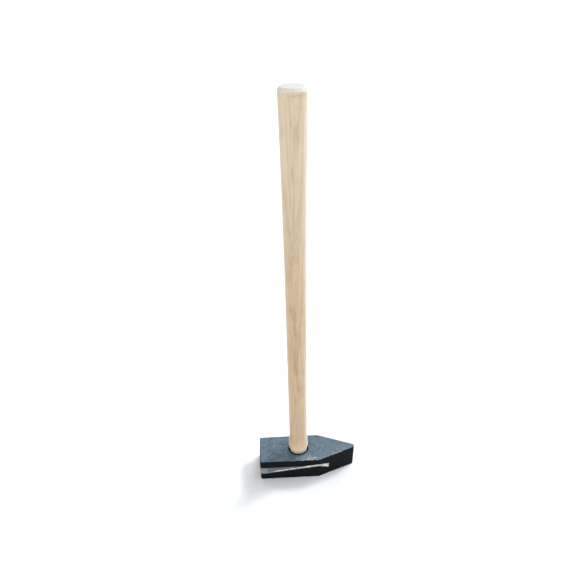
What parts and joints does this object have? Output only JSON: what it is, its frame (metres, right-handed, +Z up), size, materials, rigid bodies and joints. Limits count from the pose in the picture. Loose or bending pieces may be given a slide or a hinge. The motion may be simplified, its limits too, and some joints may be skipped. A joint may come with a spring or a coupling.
{
  "type": "post maul",
  "caption": "Long-handled driving maul with a forged head, flat poll and blunt wedge nose, wedged on a straight ash handle of oval section, for driving posts and wedges.",
  "frame": {"origin": "the handle's axis, on the plane of the head's underside, which the tool stands on", "axes": "+Z up the handle from the head to the free end, +X along the head from the flat poll to the wedge nose, +Y across the head"},
  "size_m": [0.2, 0.062, 0.8],
  "materials": {
    "head_enamel": "satin",
    "ash_wood": "matte",
    "wedge_wood": "matte",
    "wedge_steel": "satin"
  },
  "bodies": {
    "root": {"maul_head": "head_enamel", "handle": "ash_wood", "wooden_wedge": "wedge_wood", "poll_side_steel_wedge": "wedge_steel", "nose_side_steel_wedge": "wedge_steel"}
  },
  "joints": []
}
